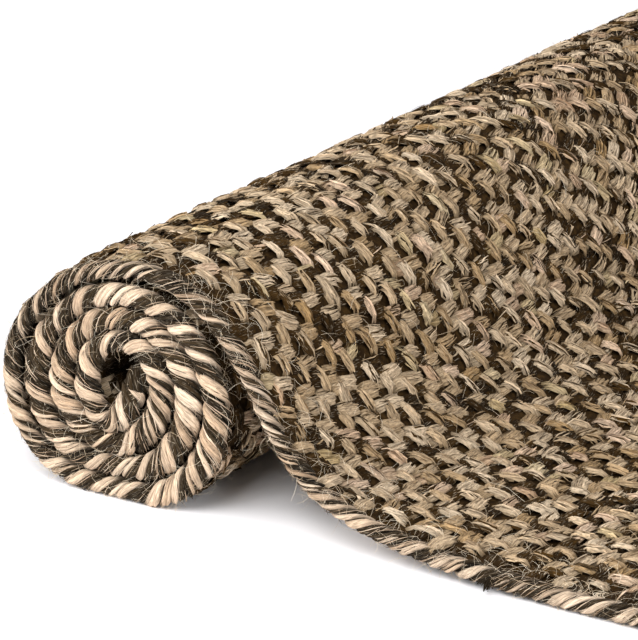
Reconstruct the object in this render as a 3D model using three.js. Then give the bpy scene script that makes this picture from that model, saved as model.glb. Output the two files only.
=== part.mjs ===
// A thick jute rug, partly rolled: about four turns are wound up, and the rest drapes down the roll and lies
// flat. Millimetres, +Z up. The roll lies along Y, and the flat end of the rug points to +X.
// The origin is on the floor, at the centre of the rug's footprint.
import * as THREE from 'three';

// Driving sizes of the rug as it would lie open
const RUG_WIDTH = 600;
const RUG_LENGTH = 1200;
const CLOTH_THICKNESS = 9;
const CORD_WIDTH = 9;
const CORD_HEIGHT = 8.8;
const SEAM_GAP = 0.3;
const CORD_SIDES = 8;

// The roll, seen from the near end: its axis lies left of the drape and above the floor.
// STRAIGHT_START is the stiff inner end of the cloth, and LAYER_RISE how much higher each layer lies than the
// one below it.
const ROLL_AXIS = { x: -13.5, z: 50.5 };
const ROLL_TURNS = 3.74;
const STRAIGHT_START = 11.5;
const LAYER_RISE = 9.6;

// One turn of the roll, from its top over the left side, the bottom and back. radius is the outer turn's, to
// the middle of the cloth, and pitch is how much closer the next turn inwards lies.
const ROLL_SIDES = [
  { side: 'top', radius: 48.7, pitch: 10.4 },
  { side: 'upper left', radius: 44.6, pitch: 10.7 },
  { side: 'left', radius: 48.6, pitch: 12.6 },
  { side: 'lower left', radius: 50.4, pitch: 12.6 },
  { side: 'bottom', radius: 47.2, pitch: 9.9 },
  { side: 'lower right', radius: 53.0, pitch: 13.4 },
  { side: 'right', radius: 52.0, pitch: 13.2 },
  { side: 'upper right', radius: 45.4, pitch: 10.9 },
];

// Middle of the cloth where it leaves the roll, drapes and meets the floor
const DRAPE = [
  { x: 4, z: 101.2 },
  { x: 24, z: 95.8 },
  { x: 42, z: 81.8 },
  { x: 56, z: 62.5 },
  { x: 69, z: 41.5 },
  { x: 86, z: 25 },
  { x: 110, z: 14.5 },
  { x: 140, z: 8.6 },
  { x: 170, z: 5.6 },
];
const TOUCHDOWN_X = 205;

// Fineness of the model
const KNOTS_PER_TURN = 24;
const CLOTH_STEP = 4.2;
const CORD_STEP = 6.5;
const CORNER_STEPS = 4;

const COLORS = { cloth: 0x83725a, cord: 0x8f7c60 };

// Middle line of the roll at a number of turns in from the top of the outer turn
function rollPoint(turns, sides) {
  const { x: reach, y: pitch } = sides.getPoint(turns % 1);
  const radius = reach - pitch * turns;
  const angle = Math.PI / 2 + turns * 2 * Math.PI;
  const lowest = CLOTH_THICKNESS / 2 + LAYER_RISE * Math.max(0, turns - 0.5);
  const x = ROLL_AXIS.x + radius * Math.cos(angle);
  const z = Math.max(lowest, ROLL_AXIS.z + radius * Math.sin(angle));
  return new THREE.Vector3(x, 0, z);
}

// Middle line of the whole rug in the XZ plane, from the inner end of the roll to the flat end
function middleLine() {
  const reaches = ROLL_SIDES.map(({ radius, pitch }, row) => {
    const turns = row / ROLL_SIDES.length;
    return new THREE.Vector3(radius + pitch * turns, pitch, 0);
  });
  const sides = new THREE.CatmullRomCurve3(reaches, true, 'catmullrom', 0.5);
  const floor = CLOTH_THICKNESS / 2;
  const knots = [];
  const rollKnots = Math.round(ROLL_TURNS * KNOTS_PER_TURN);
  for (let knot = 0; knot <= rollKnots; knot += 1) {
    knots.push(rollPoint(ROLL_TURNS - knot / KNOTS_PER_TURN, sides));
  }
  for (const { x, z } of DRAPE) {
    knots.push(new THREE.Vector3(x, 0, z));
  }
  knots.push(new THREE.Vector3(TOUCHDOWN_X, 0, floor));
  const wound = new THREE.CatmullRomCurve3(knots, false, 'centripetal');
  wound.arcLengthDivisions = 4000;
  return wound;
}

// Turns a distance along the rug into a point, a tangent and a normal of its middle line
class RugLine {
  constructor() {
    this.curve = middleLine();
    this.curved = STRAIGHT_START + this.curve.getLength();
    this.floor = CLOTH_THICKNESS / 2;
  }

  at(distance) {
    if (distance >= this.curved) {
      const x = TOUCHDOWN_X + distance - this.curved;
      return this.frame(new THREE.Vector3(x, 0, this.floor), new THREE.Vector3(1, 0, 0));
    }
    const wound = distance - STRAIGHT_START;
    const share = Math.max(0, wound) / (this.curved - STRAIGHT_START);
    const point = this.curve.getPointAt(share);
    const tangent = this.curve.getTangentAt(share).normalize();
    if (wound < 0) point.addScaledVector(tangent, wound);
    point.z = Math.max(this.floor, point.z);
    return this.frame(point, tangent);
  }

  frame(point, tangent) {
    return { point, tangent, normal: new THREE.Vector3(-tangent.z, 0, tangent.x) };
  }

  // Distances from start to end, close together where the rug is curved
  stations(start, end, step) {
    const bends = Math.ceil((this.curved - start) / step);
    const list = [];
    for (let i = 0; i < bends; i += 1) {
      list.push(start + ((this.curved - start) * i) / bends);
    }
    list.push(this.curved, end);
    return list;
  }
}

// The woven cloth: its section is the middle line with half the thickness on each side, drawn out along Y
function clothGeometry(line) {
  const inset = CORD_WIDTH + SEAM_GAP;
  const half = CLOTH_THICKNESS / 2;
  const upper = [];
  const lower = [];
  for (const distance of line.stations(inset, RUG_LENGTH - inset, CLOTH_STEP)) {
    const { point, normal } = line.at(distance);
    upper.push(new THREE.Vector2(point.x + normal.x * half, point.z + normal.z * half));
    lower.push(new THREE.Vector2(point.x - normal.x * half, Math.max(0, point.z - normal.z * half)));
  }
  const section = new THREE.Shape([...lower, ...upper.reverse()]);
  const depth = RUG_WIDTH - 2 * inset;
  const geometry = new THREE.ExtrudeGeometry(section, { depth, bevelEnabled: false, steps: 1 });
  geometry.rotateX(Math.PI / 2);
  geometry.translate(0, RUG_WIDTH - inset, 0);
  return geometry;
}

// Route of the cord on the open rug, as distances along and across, with the direction it runs in
function cordRoute(line) {
  const middle = CORD_WIDTH / 2;
  const bend = middle + SEAM_GAP;
  const start = middle + bend;
  const end = RUG_LENGTH - start;
  const near = start;
  const far = RUG_WIDTH - start;
  const along = line.stations(start, end, CORD_STEP);
  const route = [];
  const corner = (centreAlong, centreAcross, fromAngle) => {
    for (let i = 1; i < CORNER_STEPS; i += 1) {
      const angle = fromAngle + (Math.PI / 2) * (i / CORNER_STEPS);
      route.push({
        along: centreAlong + bend * Math.cos(angle),
        across: centreAcross + bend * Math.sin(angle),
        heading: angle + Math.PI / 2,
      });
    }
  };
  for (const distance of along) route.push({ along: distance, across: middle, heading: 0 });
  corner(end, near, -Math.PI / 2);
  route.push({ along: RUG_LENGTH - middle, across: near, heading: Math.PI / 2 });
  route.push({ along: RUG_LENGTH - middle, across: far, heading: Math.PI / 2 });
  corner(end, far, 0);
  for (const distance of [...along].reverse()) {
    route.push({ along: distance, across: RUG_WIDTH - middle, heading: Math.PI });
  }
  corner(start, far, Math.PI / 2);
  route.push({ along: middle, across: far, heading: -Math.PI / 2 });
  route.push({ along: middle, across: near, heading: -Math.PI / 2 });
  corner(start, near, Math.PI);
  return route;
}

// The edge cord: an eight-sided section carried round the closed route, flat side down
function cordGeometry(line) {
  const flat = Math.cos(Math.PI / CORD_SIDES);
  const halfWidth = CORD_WIDTH / 2 / flat;
  const halfHeight = CORD_HEIGHT / 2 / flat;
  const route = cordRoute(line);
  const positions = [];
  const indices = [];
  route.forEach(({ along, across, heading }, ring) => {
    const { point, tangent, normal } = line.at(along);
    const side = tangent.clone().multiplyScalar(-Math.sin(heading));
    side.y = Math.cos(heading);
    for (let i = 0; i < CORD_SIDES; i += 1) {
      const angle = ((i + 0.5) / CORD_SIDES) * 2 * Math.PI;
      const corner = point.clone().setY(across);
      corner.addScaledVector(side, halfWidth * Math.cos(angle));
      corner.addScaledVector(normal, halfHeight * Math.sin(angle));
      positions.push(corner.x, corner.y, corner.z);
      const next = (i + 1) % CORD_SIDES;
      const here = ring * CORD_SIDES;
      const ahead = ((ring + 1) % route.length) * CORD_SIDES;
      indices.push(here + i, here + next, ahead + i, ahead + i, here + next, ahead + next);
    }
  });
  const geometry = new THREE.BufferGeometry();
  geometry.setAttribute('position', new THREE.Float32BufferAttribute(positions, 3));
  geometry.setIndex(indices);
  return geometry;
}

function piece(name, geometry, color) {
  const material = new THREE.MeshStandardMaterial({ color, roughness: 0.95, metalness: 0 });
  const mesh = new THREE.Mesh(geometry, material);
  mesh.name = name;
  return mesh;
}

const line = new RugLine();
const rug = new THREE.Group();
rug.add(piece('woven_field', clothGeometry(line), COLORS.cloth));
rug.add(piece('edge_cord', cordGeometry(line), COLORS.cord));

// Move the footprint's centre to the origin
const footprint = new THREE.Box3().setFromObject(rug);
const centre = footprint.getCenter(new THREE.Vector3());
for (const mesh of rug.children) mesh.position.set(-centre.x, -centre.y, 0);

export default rug;
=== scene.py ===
"""A thick jute rug, partly rolled, dressed with plaited yarn, a twisted edge cord and stray fibres.

The model's frame is in metres: +X runs from the roll to the flat end, +Y along the roll, and +Z up. On the
cloth itself a place is given in millimetres by two distances: across, along Y from the near edge, and along,
from the rug's wound end to its flat end. The face of the cloth is the side that shows on the roll and on the
flat run.
"""
import logging
import math
from dataclasses import dataclass, field, replace
from enum import Enum
from typing import Any, Dict, List, Optional, Sequence, Tuple, Union

import bpy
import numpy as np
from mathutils import Matrix, Vector


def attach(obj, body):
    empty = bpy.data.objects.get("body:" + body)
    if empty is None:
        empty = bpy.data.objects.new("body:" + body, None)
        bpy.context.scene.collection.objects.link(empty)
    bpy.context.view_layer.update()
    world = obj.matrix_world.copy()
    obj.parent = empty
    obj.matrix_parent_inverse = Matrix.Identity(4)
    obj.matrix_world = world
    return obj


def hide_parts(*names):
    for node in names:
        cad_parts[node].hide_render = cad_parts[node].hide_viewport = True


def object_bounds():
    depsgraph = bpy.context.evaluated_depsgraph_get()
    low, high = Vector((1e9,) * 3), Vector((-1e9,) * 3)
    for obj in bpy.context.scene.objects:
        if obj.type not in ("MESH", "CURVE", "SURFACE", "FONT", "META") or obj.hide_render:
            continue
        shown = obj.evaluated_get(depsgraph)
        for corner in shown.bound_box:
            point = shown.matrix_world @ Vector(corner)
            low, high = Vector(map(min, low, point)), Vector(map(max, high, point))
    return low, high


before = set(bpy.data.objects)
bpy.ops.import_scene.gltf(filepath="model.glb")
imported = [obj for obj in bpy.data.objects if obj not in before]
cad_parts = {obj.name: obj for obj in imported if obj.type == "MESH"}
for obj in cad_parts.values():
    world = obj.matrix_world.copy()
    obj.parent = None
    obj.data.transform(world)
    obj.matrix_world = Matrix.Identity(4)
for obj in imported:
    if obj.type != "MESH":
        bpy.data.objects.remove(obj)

CAD_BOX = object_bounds()
MM = 0.001
LOG = logging.getLogger("jute_rug")

Array = np.ndarray
Colour = Tuple[float, float, float]
Socket = bpy.types.NodeSocket


@dataclass(frozen=True)
class RugSizes:
    """Sizes of the rug as it would lie open, in millimetres."""

    width: float = 600.0
    length: float = 1200.0
    thickness: float = 9.0
    cord_width: float = 9.0
    seam_gap: float = 0.3

    @property
    def inset(self) -> float:
        """Distance from the rug's edge to the woven cloth inside the cord."""
        return self.cord_width + self.seam_gap


@dataclass(frozen=True)
class RollSide:
    """How far out the outer turn lies on one side of the roll, and how close the next turn inwards is."""

    radius: float
    pitch: float


@dataclass(frozen=True)
class RollSizes:
    """The wound part of the rug, seen from the near end, in millimetres.

    straight_start is the stiff inner end, and layer_rise how much higher each layer lies than the one below
    it. The sides follow one turn from its top over the left. The drape is the middle of the cloth from the
    crest down, and it lies flat from touchdown on.
    """

    axis: Tuple[float, float] = (-13.5, 50.5)
    turns: float = 3.74
    straight_start: float = 11.5
    layer_rise: float = 9.6
    knots_per_turn: int = 24
    sides: Tuple[RollSide, ...] = (
        RollSide(48.7, 10.4), RollSide(44.6, 10.7), RollSide(48.6, 12.6), RollSide(50.4, 12.6),
        RollSide(47.2, 9.9), RollSide(53.0, 13.4), RollSide(52.0, 13.2), RollSide(45.4, 10.9),
    )
    drape: Tuple[Tuple[float, float], ...] = (
        (4, 101.2), (24, 95.8), (42, 81.8), (56, 62.5), (69, 41.5), (86, 25), (110, 14.5), (140, 8.6),
        (170, 5.6),
    )
    touchdown: float = 205.0


def cubic(start: Array, end: Array, start_slope: Array, end_slope: Array, part: Array) -> Array:
    """Follows smooth curves, each with given ends and slopes.

    Args:
        start: where each curve starts.
        end: where it ends.
        start_slope: its slope at the start.
        end_slope: its slope at the end.
        part: how far along it the point lies, from 0 to 1.

    Returns:
        The points.
    """
    return (start + start_slope * part + (3 * (end - start) - 2 * start_slope - end_slope) * part ** 2
            + (2 * (start - end) + start_slope + end_slope) * part ** 3)


class RugLine:
    """The middle line of the cloth in the XZ plane, from the wound end to the flat end.

    Its direction is smoothed over some samples, and nothing on it lies lower than LOWEST millimetres.
    """

    STEPS_BETWEEN_KNOTS = 60
    SAMPLES = 4801
    SMOOTHED = 17
    LOWEST = 0.2

    def __init__(self, rug: RugSizes, roll: RollSizes, flat_end_x: float) -> None:
        """Winds the line.

        Args:
            rug: sizes of the open rug.
            roll: sizes of the wound part.
            flat_end_x: X of the rug's flat end in the model's frame, in millimetres.
        """
        self.rug = rug
        floor = rug.thickness / 2
        knots = self._knots(rug, roll, floor)
        path = self._through(knots, self.STEPS_BETWEEN_KNOTS)
        steps = np.hypot(*np.diff(path, axis=0).T)
        along = roll.straight_start + np.r_[0.0, np.cumsum(steps)]
        self.curved = float(along[-1])
        first = path[1] - path[0]
        first /= np.hypot(*first)
        start = path[0] - first * roll.straight_start
        flat_end = np.array([roll.touchdown + rug.length - self.curved, floor])
        path = np.vstack([start, path, flat_end])
        path[:, 0] += flat_end_x - flat_end[0]
        path[:, 1] = np.maximum(path[:, 1], floor)
        along = np.r_[0.0, along, rug.length]
        self._along = np.linspace(0.0, rug.length, self.SAMPLES)
        self._x = np.interp(self._along, along, path[:, 0])
        self._z = np.interp(self._along, along, path[:, 1])
        turn = np.unwrap(np.arctan2(np.gradient(self._z), np.gradient(self._x)))
        kernel = np.hanning(self.SMOOTHED)
        padded = np.pad(turn, self.SMOOTHED // 2, mode="edge")
        self._turn = np.convolve(padded, kernel / kernel.sum(), mode="valid")

    @staticmethod
    def _knots(rug: RugSizes, roll: RollSizes, floor: float) -> Array:
        """Lays out the knots of the line.

        Args:
            rug: sizes of the open rug; not used.
            roll: sizes of the wound part.
            floor: height of the cloth's middle where it lies flat.

        Returns:
            One row of X and Z for each knot: the roll's from its inner end, then the drape's.
        """
        count = len(roll.sides)
        rows = np.array([[s.radius + s.pitch * i / count, s.pitch] for i, s in enumerate(roll.sides)])
        total = round(roll.turns * roll.knots_per_turn)
        turns = roll.turns - np.arange(total + 1) / roll.knots_per_turn
        place = (turns % 1.0) * count
        cell = np.floor(place).astype(int)
        part = (place - cell)[:, None]
        p0, p1, p2, p3 = (rows[(cell + k) % count] for k in (-1, 0, 1, 2))
        reach = cubic(p1, p2, (p2 - p0) / 2, (p3 - p1) / 2, part)
        radius = reach[:, 0] - reach[:, 1] * turns
        angle = math.pi / 2 + turns * 2 * math.pi
        lowest = floor + roll.layer_rise * np.maximum(0, turns - 0.5)
        x = roll.axis[0] + radius * np.cos(angle)
        z = np.maximum(lowest, roll.axis[1] + radius * np.sin(angle))
        return np.vstack([np.c_[x, z], roll.drape, [(roll.touchdown, floor)]])

    @staticmethod
    def _through(knots: Array, steps: int) -> Array:
        """Draws a smooth path through the knots.

        Args:
            knots: one row of X and Z for each knot.
            steps: number of steps from one knot to the next.

        Returns:
            One row of X and Z for each point of the path.
        """
        ends = np.vstack([2 * knots[0] - knots[1], knots, 2 * knots[-1] - knots[-2]])
        p0, p1, p2, p3 = ends[:-3], ends[1:-2], ends[2:-1], ends[3:]
        d0, d1, d2 = (np.sqrt(np.hypot(*(b - a).T))[:, None] for a, b in ((p0, p1), (p1, p2), (p2, p3)))
        slope1 = ((p1 - p0) / d0 - (p2 - p0) / (d0 + d1) + (p2 - p1) / d1) * d1
        slope2 = ((p2 - p1) / d1 - (p3 - p1) / (d1 + d2) + (p3 - p2) / d2) * d1
        part = (np.arange(steps) / steps)[None, :, None]
        path = cubic(*(a[:, None, :] for a in (p1, p2, slope1, slope2)), part)
        return np.vstack([path.reshape(-1, 2), knots[-1]])

    def angle(self, along: Array) -> Array:
        """Returns the line's direction at each distance, as an angle from +X towards +Z."""
        return np.interp(along, self._along, self._turn)

    def place(self, across: Array, along: Array, height: Array) -> Array:
        """Puts points of the cloth into the model's frame.

        Args:
            across: distances from the near edge, in millimetres.
            along: distances from the wound end, in millimetres.
            height: distances from the middle line towards the face, in millimetres.

        Returns:
            One row of X, Y and Z in metres for each point.
        """
        turn = self.angle(along)
        x = np.interp(along, self._along, self._x) - np.sin(turn) * height
        z = np.interp(along, self._along, self._z) + np.cos(turn) * height
        return np.stack([x, across - self.rug.width / 2, np.maximum(z, self.LOWEST)], axis=-1) * MM


class Noise:
    """Smooth seeded noise over a plane, from -1 to 1."""

    def __init__(self, seed: int, size: int = 64) -> None:
        """Keeps a table of random values that repeats every `size` cells."""
        self.size = size
        self.table = np.random.default_rng(seed).uniform(-1, 1, (size, size))

    def __call__(self, x: Array, y: Array) -> Array:
        """Reads the noise.

        Args:
            x: the points' first coordinates, in cells.
            y: their second ones.

        Returns:
            The noise at each point.
        """
        ix, iy = np.floor(x).astype(int), np.floor(y).astype(int)
        fx, fy = x - ix, y - iy
        fx, fy = fx * fx * (3 - 2 * fx), fy * fy * (3 - 2 * fy)
        t, n = self.table, self.size
        near = t[ix % n, iy % n] * (1 - fx) + t[(ix + 1) % n, iy % n] * fx
        far = t[ix % n, (iy + 1) % n] * (1 - fx) + t[(ix + 1) % n, (iy + 1) % n] * fx
        return near * (1 - fy) + far * fy


def srgb(red: float, green: float, blue: float) -> Colour:
    """Turns a colour into linear light.

    Args:
        red: its red, from 0 to 255.
        green: its green.
        blue: its blue.

    Returns:
        The colour, each channel from 0 to 1.
    """
    def linear(value: float) -> float:
        """Returns one channel as linear light."""
        value /= 255
        return value / 12.92 if value <= 0.04045 else ((value + 0.055) / 1.055) ** 2.4
    return linear(red), linear(green), linear(blue)


class Surface:
    """A new material, its shader and the nodes that feed it."""

    def __init__(self, name: str, roughness: float, specular: float) -> None:
        """Makes the material.

        Args:
            name: name of the material.
            roughness: the shader's roughness.
            specular: the shader's specular level.
        """
        self.material = bpy.data.materials.new(name)
        self.material.use_nodes = True
        self.shader = self.material.node_tree.nodes["Principled BSDF"]
        self.shader.inputs["Roughness"].default_value = roughness
        self.shader.inputs["Specular IOR Level"].default_value = specular

    def add(self, kind: str, inputs: Dict[Union[str, int], Any], **settings: str) -> bpy.types.Node:
        """Adds a node.

        Args:
            kind: the node's type, without its first word.
            inputs: a value, or the socket that feeds it, for each input that isn't left as it is.
            settings: the node's own settings.

        Returns:
            The node.
        """
        tree = self.material.node_tree
        node = tree.nodes.new("ShaderNode" + kind)
        for key, value in settings.items():
            setattr(node, key, value)
        for key, value in inputs.items():
            if isinstance(value, Socket):
                tree.links.new(value, node.inputs[key])
            else:
                node.inputs[key].default_value = value
        return node

    def streaks(self, place: Socket, stretch: Dict[str, Colour], noise: Dict[str, float]) -> Socket:
        """Adds noise that is drawn out along the yarn.

        Args:
            place: where the noise is read.
            stretch: how the place is moved, turned and stretched first.
            noise: the noise's own values.

        Returns:
            The noise's strength.
        """
        mapped = self.add("Mapping", {"Vector": place, **stretch})
        values = {"Vector": mapped.outputs["Vector"], "Scale": 1.0, **noise}
        return self.add("TexNoise", values).outputs["Fac"]

    def ramp(self, value: Socket, start: float, end: float, low: float, high: float) -> Socket:
        """Turns a value from start to end into one from low to high.

        Args:
            value: the value.
            start: the value that becomes low.
            end: the value that becomes high.
            low: what start becomes.
            high: what end becomes.

        Returns:
            The new value.
        """
        limits = {"From Min": start, "From Max": end, "To Min": low, "To Max": high}
        return self.add("MapRange", {"Value": value, **limits}).outputs["Result"]

    def finish(self, colour: Socket, height: Socket, strength: float, depth: float) -> bpy.types.Material:
        """Gives the shader its colour and its bump.

        Args:
            colour: the base colour.
            height: the bump's height, from 0 to 1.
            strength: how strong the bump is.
            depth: the bump's depth in millimetres.

        Returns:
            The material.
        """
        bump = self.add("Bump", {"Strength": strength, "Distance": depth * MM, "Height": height})
        links = self.material.node_tree.links
        links.new(colour, self.shader.inputs["Base Color"])
        links.new(bump.outputs["Normal"], self.shader.inputs["Normal"])
        return self.material


@dataclass(frozen=True)
class YarnFinish:
    """Matt jute fibre. Its colour comes from the mesh's yarn colours, which hold painted shade as well, and
    its streaks run along the yarn.

    streak is how much lighter and darker the streaks are, and pale_fibres how much of the pale colour the
    lightest fibres take. The lines between the fibres are darkened with painted shade, as deep as the furrow
    setting says.
    fuzz is the sheen of fine hairs.
    """

    name: str
    streak: float = 0.4
    painted_furrow_shade: float = 0.5
    bump: float = 1.0
    bump_depth: float = 0.4
    fuzz: float = 0.01
    fuzz_tint: Colour = (1.0, 0.92, 0.8)
    pale_fibres: float = 0.3
    pale: Colour = srgb(218, 202, 178)

    def material(self) -> bpy.types.Material:
        """Returns the material, whose base colour is the mesh's yarn colour, painted shade included."""
        made = Surface(self.name, roughness=0.9, specular=0.06)
        made.shader.inputs["Sheen Weight"].default_value = self.fuzz
        made.shader.inputs["Sheen Roughness"].default_value = 0.6
        made.shader.inputs["Sheen Tint"].default_value = (*self.fuzz_tint, 1.0)
        tint = made.add("Attribute", {}, attribute_name="yarn_colour_and_shade").outputs["Color"]
        yarn = made.add("UVMap", {}, uv_map="yarn").outputs["UV"]
        fibre = made.streaks(yarn, {"Scale": (0.3, 1.7, 1.0)}, {"Detail": 4.0, "Roughness": 0.65})
        shade = made.ramp(fibre, 0.3, 0.7, 1.0 - self.streak, 1.0 + self.streak)
        # Painted shade: dark lines in the furrows between the fibres.
        furrow = {"Location": (-21.0, 5.0, 0.0), "Scale": (0.26, 2.0, 1.0), "Rotation": (0.0, 0.0, -0.12)}
        gap = made.streaks(yarn, furrow, {"Detail": 2.0})
        dark = made.ramp(gap, 0.38, 0.48, 1.0 - self.painted_furrow_shade, 1.0)
        both = made.add("Math", {0: shade, 1: dark}, operation="MULTIPLY").outputs["Value"]
        colour = made.add("VectorMath", {0: tint, "Scale": both}, operation="SCALE").outputs["Vector"]
        thread = {"Location": (13.0, 7.0, 0.0), "Scale": (0.3, 2.6, 1.0), "Rotation": (0.0, 0.0, 0.35)}
        stray = made.streaks(yarn, thread, {"Detail": 1.0})
        share = made.ramp(stray, 0.60, 0.72, 0.0, self.pale_fibres)
        mixed = made.add("Mix", {"Factor": share, "A": colour, "B": (*self.pale, 1.0)}, data_type="RGBA")
        return made.finish(mixed.outputs["Result"], fibre, self.bump, self.bump_depth)


@dataclass(frozen=True)
class GroundFinish:
    """The cloth's inside that shows between the yarns, mottled like fibre and painted dark as the shade in
    those gaps.
    """

    name: str
    # Painted shade: these dark browns stand in for the shade in the gaps between the yarns.
    low: Colour = srgb(37, 24, 8)
    high: Colour = srgb(61, 43, 18)
    grain: float = 420.0
    low_end: float = 0.42
    high_end: float = 0.68
    bump: float = 0.6
    bump_depth: float = 0.6

    def material(self) -> bpy.types.Material:
        """Returns the material."""
        made = Surface(self.name, roughness=0.95, specular=0.1)
        place = made.add("TexCoord", {}).outputs["Object"]
        noise = made.add("TexNoise", {"Vector": place, "Scale": self.grain, "Detail": 3.0}).outputs["Fac"]
        ramp = made.add("ValToRGB", {"Fac": noise})
        ends = zip(ramp.color_ramp.elements, (self.low_end, self.high_end), (self.low, self.high))
        for element, position, colour in ends:
            element.position = position
            element.color = (*colour, 1)
        return made.finish(ramp.outputs["Color"], noise, self.bump, self.bump_depth)


class Dye(Enum):
    """The two yarns that the rug is made of."""

    NATURAL = 0
    BLACK = 1


@dataclass(frozen=True)
class Palette:
    """Colours of the two yarns, each mixed between a darker and a lighter one.

    mix_shape is the shape of the mix's spread. A share of the natural yarns takes a part of an odd colour.
    """

    natural_dark: Colour = srgb(158, 127, 85)
    natural_light: Colour = srgb(211, 190, 163)
    natural_olive: Colour = srgb(200, 182, 134)
    natural_pink: Colour = srgb(218, 184, 160)
    black_dark: Colour = srgb(37, 24, 8)
    black_light: Colour = srgb(72, 51, 22)
    mix_shape: Tuple[float, float] = (2.0, 1.6)
    olive_share: float = 0.07
    olive_part: float = 0.35
    pink_from: float = 0.88
    pink_part: float = 0.4

    def mixed(self, dye: Dye, mix: Array) -> Array:
        """Mixes the colours of one dye.

        Args:
            dye: the dye.
            mix: for each colour 0 for the dye's darker one, 1 for its lighter one, or what lies between.

        Returns:
            One linear colour for each mix.
        """
        ends = {Dye.NATURAL: (self.natural_dark, self.natural_light),
                Dye.BLACK: (self.black_dark, self.black_light)}
        dark, light = (np.array(colour) for colour in ends[dye])
        return dark * (1 - mix) + light * mix

    def pick(self, dye: Array, rng: np.random.Generator) -> Array:
        """Picks the colours of many yarns.

        Args:
            dye: the value of a Dye for each yarn.
            rng: the source of the variation.

        Returns:
            One linear colour for each yarn.
        """
        count = len(dye)
        mix = rng.beta(*self.mix_shape, count)[:, None]
        natural = self.mixed(Dye.NATURAL, mix)
        odd = rng.uniform(0, 1, count)[:, None]
        olive = natural * (1 - self.olive_part) + np.array(self.natural_olive) * self.olive_part
        natural = np.where(odd < self.olive_share, olive, natural)
        pink = natural * (1 - self.pink_part) + np.array(self.natural_pink) * self.pink_part
        natural = np.where(odd > self.pink_from, pink, natural)
        return np.where((dye == Dye.BLACK.value)[:, None], self.mixed(Dye.BLACK, mix), natural)


def mesh_object(name: str, points: Array, quads: Array, colours: Optional[Array] = None,
                uvs: Optional[Array] = None, smooth: bool = True) -> bpy.types.Object:
    """Makes an object from arrays.

    Args:
        name: name of the object.
        points: one row of X, Y and Z in metres for each vertex.
        quads: one row of four vertex numbers for each face.
        colours: one linear colour for each vertex, painted shade included, if the yarns have their own.
        uvs: distances along and across the yarn for each vertex, in millimetres.
        smooth: whether the faces are shaded smooth.

    Returns:
        The object, linked to the scene.
    """
    mesh = bpy.data.meshes.new(name)
    sides = quads.shape[1]
    mesh.vertices.add(len(points))
    mesh.vertices.foreach_set("co", np.ascontiguousarray(points, dtype=np.float32).ravel())
    mesh.loops.add(quads.size)
    mesh.loops.foreach_set("vertex_index", quads.astype(np.int32).ravel())
    mesh.polygons.add(len(quads))
    mesh.polygons.foreach_set("loop_start", np.arange(0, quads.size, sides, dtype=np.int32))
    mesh.polygons.foreach_set("use_smooth", np.full(len(quads), smooth))
    if uvs is not None:
        layer = mesh.uv_layers.new(name="yarn")
        layer.data.foreach_set("uv", uvs[quads.ravel()].astype(np.float32).ravel())
    if colours is not None:
        tint = mesh.color_attributes.new("yarn_colour_and_shade", "FLOAT_COLOR", "POINT")
        rgba = np.c_[colours, np.ones(len(colours))].astype(np.float32)
        tint.data.foreach_set("color", rgba.ravel())
    mesh.update(calc_edges=True)
    mesh.validate()
    obj = bpy.data.objects.new(name, mesh)
    bpy.context.scene.collection.objects.link(obj)
    return obj


def grid_quads(rows: int, columns: int, closed: bool = False) -> Array:
    """Joins a grid of vertices, numbered row by row, with faces.

    Args:
        rows: number of rows.
        columns: number of vertices in a row.
        closed: whether each row closes into a ring.

    Returns:
        One row of four vertex numbers for each face.
    """
    row = np.arange(rows - 1)[:, None]
    column = np.arange(columns if closed else columns - 1)[None, :]
    after = (column + 1) % columns
    a, b = row * columns + column, row * columns + after
    return np.stack([a, b, b + columns, a + columns], axis=-1).reshape(-1, 4)


def repeated(quads: Array, copies: int, vertices: int) -> Array:
    """Returns the faces of so many copies of a small mesh that has that many vertices."""
    return (quads[None] + (np.arange(copies) * vertices)[:, None, None]).reshape(-1, quads.shape[1])


@dataclass
class Stitches:
    """Where the visible strokes of yarn lie: one entry of each array for each stroke."""

    across: Array
    along: Array
    angle: Array
    length: Array
    width: Array
    dye: Array
    lift: Array

    def part(self, keep: Array) -> "Stitches":
        """Returns the strokes that `keep` is true for."""
        return Stitches(*(getattr(self, n)[keep] for n in self.__dataclass_fields__))

    def columns(self, *names: str) -> List[Array]:
        """Returns the named arrays, shaped to be worked with the points of each stroke's members."""
        return [getattr(self, name)[:, None, None, None] for name in names]


@dataclass(frozen=True)
class Arm:
    """One kind of stroke: its sizes in millimetres, and how it turns and shifts across the rug.

    Its body is made of plies, each with so many rings, and loose fibres lie on them.
    """

    length: float
    width: float
    near_angle: float
    far_angle: float
    near_offset: Tuple[float, float]
    far_offset: Tuple[float, float]
    lift: float
    plies: int
    fibres: int
    rings: int = 5


@dataclass(frozen=True)
class Ripple:
    """Noise over the cloth: its height, its seed, and its cells' sizes in two directions in millimetres."""

    height: float
    seed: int
    first: float
    second: float

    def __call__(self, x: Array, y: Array) -> Array:
        """Returns the noise at each point, whose places are in millimetres."""
        return self.height * Noise(self.seed)(x / self.first, y / self.second)


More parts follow.
